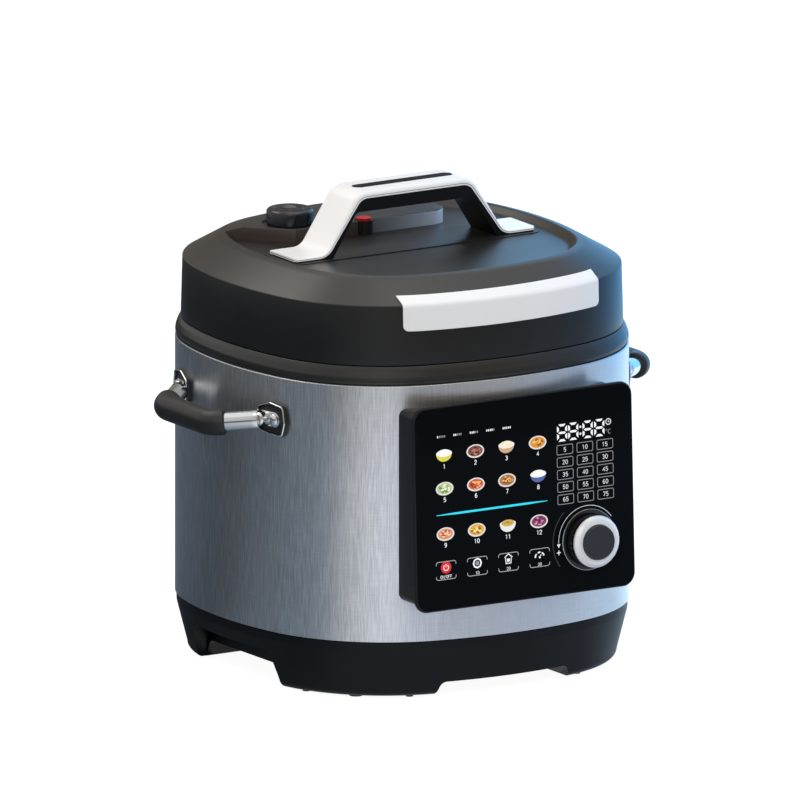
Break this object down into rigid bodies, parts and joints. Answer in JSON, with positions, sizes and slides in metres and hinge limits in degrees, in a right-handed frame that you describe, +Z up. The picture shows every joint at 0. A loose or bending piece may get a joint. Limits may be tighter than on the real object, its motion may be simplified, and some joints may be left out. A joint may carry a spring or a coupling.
{
  "type": "electric pressure cooker",
  "caption": "Electric pressure cooker with a steel body in a rounded-square plan, bayonet lid with handle and steam valve, bar side handles, and a front panel with a turning dial.",
  "frame": {"origin": "centre of the whole object's box, on the table under the foot pads", "axes": "+X to the cook's right, +Y to the back, +Z up; the panel faces -Y"},
  "size_m": [0.3482, 0.3084, 0.3178],
  "materials": {
    "satin_black_plastic": "moulded, satin",
    "brushed_stainless": "brushed around the body",
    "polished_steel": "polished",
    "pressed_steel": "satin",
    "pot_aluminium": "satin",
    "cast_heater": "cast and turned",
    "silicone": "matt, translucent",
    "rubber": "matt",
    "panel_gloss": "glossy",
    "white_plastic": "moulded, satin gloss",
    "knob_plastic": "slate grey, gloss",
    "red_plastic": "gloss",
    "circuit_board": "solder mask",
    "zinc_screw": "zinc plated"
  },
  "bodies": {
    "base": {"base_housing": "satin_black_plastic", "foot_pads": "rubber", "bottom_cover": "pressed_steel", "cover_screws": "zinc_screw", "outer_shell": "brushed_stainless", "top_collar": "satin_black_plastic", "pressure_pot": "pot_aluminium", "lock_ring": "pressed_steel", "inner_pot": "pressed_steel", "heating_plate": "cast_heater", "probe_bracket": "pressed_steel", "probe_spring": "pressed_steel", "power_board": "circuit_board", "power_inlet": "satin_black_plastic", "panel_housing": "satin_black_plastic", "front_plate": "panel_gloss", "display_board": "circuit_board", "dial_encoder": "pressed_steel", "dial_foot": "satin_black_plastic", "handle_brackets": "polished_steel", "handle_bars": "polished_steel", "handle_sleeves": "satin_black_plastic", "handle_screws": "polished_steel"},
    "probe": {"temperature_probe": "pot_aluminium"},
    "seal": {"sealing_ring": "silicone"},
    "lid": {"seal_rack": "pressed_steel", "inner_lid": "pressed_steel", "steam_shield": "pressed_steel", "lid_cover": "satin_black_plastic", "lid_bolt": "zinc_screw", "lid_trim": "white_plastic", "grip_core": "satin_black_plastic", "grip_band": "white_plastic", "grip_inlay": "satin_black_plastic", "grip_screws": "zinc_screw", "valve_stem": "polished_steel", "float_housing": "satin_black_plastic"},
    "valve": {"valve_knob": "knob_plastic"},
    "float": {"float_pin": "red_plastic"},
    "dial": {"dial_barrel": "satin_black_plastic", "dial_ring": "white_plastic"},
    "button": {"dial_button": "knob_plastic"}
  },
  "joints": [
    {"name": "lid_lift", "type": "slide", "parent": "base", "child": "seal", "axis": [0, 0, 1], "range_m": [0, 0.12]},
    {"name": "lid_turn", "type": "hinge", "parent": "seal", "child": "lid", "pos_m": [0, 0.01417, 0.2237], "axis": [0, 0, -1], "range_deg": [0, 30]},
    {"name": "valve_turn", "type": "hinge", "parent": "lid", "child": "valve", "pos_m": [-0.052, 0.07017, 0.2845], "axis": [0, 0, -1], "range_deg": [0, 45]},
    {"name": "float_rise", "type": "slide", "parent": "lid", "child": "float", "axis": [0, 0, 1], "range_m": [0, 0.003]},
    {"name": "dial_turn", "type": "hinge", "parent": "base", "child": "dial", "pos_m": [0.0494, -0.1382, 0.09952], "axis": [0, -0.9994, 0.0349], "continuous": true},
    {"name": "button_press", "type": "slide", "parent": "dial", "child": "button", "axis": [0, 0.9994, -0.0349], "range_m": [0, 0.001], "stiffness_N_per_m": 400, "springref_m": -0.001},
    {"name": "probe_press", "type": "slide", "parent": "base", "child": "probe", "axis": [0, 0, -1], "range_m": [0, 0.002], "stiffness_N_per_m": 400, "springref_m": -0.002, "deforming": ["probe_spring"]}
  ]
}
